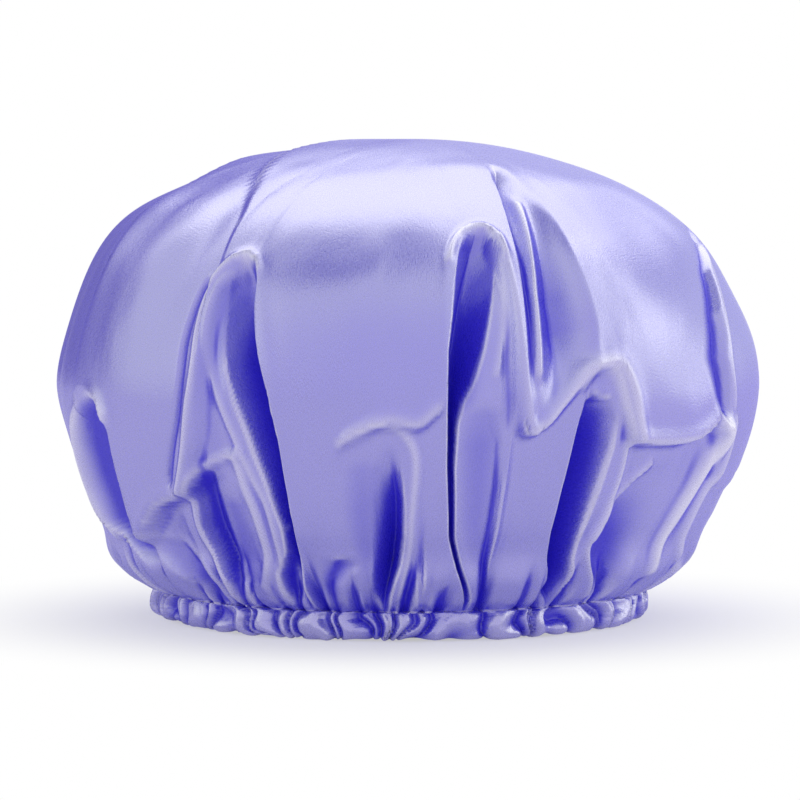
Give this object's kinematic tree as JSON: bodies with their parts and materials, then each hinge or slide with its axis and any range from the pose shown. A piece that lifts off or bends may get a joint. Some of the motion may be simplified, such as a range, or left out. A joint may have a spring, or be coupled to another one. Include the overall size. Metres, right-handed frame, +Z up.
{
  "type": "shower cap",
  "caption": "Puffy satin shower cap with a waterproof lining, gathered into a ruffled hem that holds a flat elastic; standing on its open hem.",
  "frame": {"origin": "on the surface under the hem, below the middle of the cap's outline", "axes": "+Z up through the crown; -Y towards the front in the picture; +X to the right in the picture"},
  "size_m": [0.23, 0.222, 0.157],
  "materials": {
    "satin": "glossy lavender polyester satin",
    "film": "thin milky waterproof film",
    "elastic": "flat woven white elastic",
    "thread": "lavender polyester sewing thread",
    "elastic_thread": "white polyester sewing thread"
  },
  "bodies": {
    "root": {"satin_shell": "satin", "waterproof_lining": "film", "hem_casing": "satin", "elastic_band": "elastic", "elastic_join_thread": "elastic_thread", "outer_seam_thread": "thread", "inner_seam_thread": "thread"}
  },
  "joints": []
}
